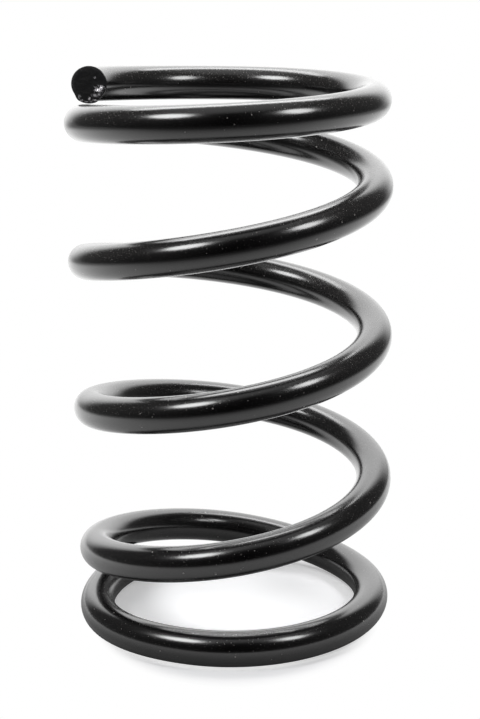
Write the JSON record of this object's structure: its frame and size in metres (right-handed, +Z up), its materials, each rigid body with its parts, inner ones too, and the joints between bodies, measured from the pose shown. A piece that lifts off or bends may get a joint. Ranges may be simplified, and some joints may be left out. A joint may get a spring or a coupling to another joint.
{
  "type": "helical compression spring",
  "caption": "Right-hand helical compression spring of thick round wire with a gloss black coat, wide open turns, and closed, unground ends with sheared wire tips.",
  "frame": {"origin": "middle of the lower end turn, on the plane that the spring stands on", "axes": "+Z up along the axis of the coil; the picture looks along +Y, with +X to its right, so the upper wire tip is at the left"},
  "size_m": [0.1397, 0.1396, 0.2441],
  "materials": {
    "black_coat": "gloss black powder coat over steel wire"
  },
  "bodies": {
    "root": {"coil_spring": "black_coat"}
  },
  "joints": []
}
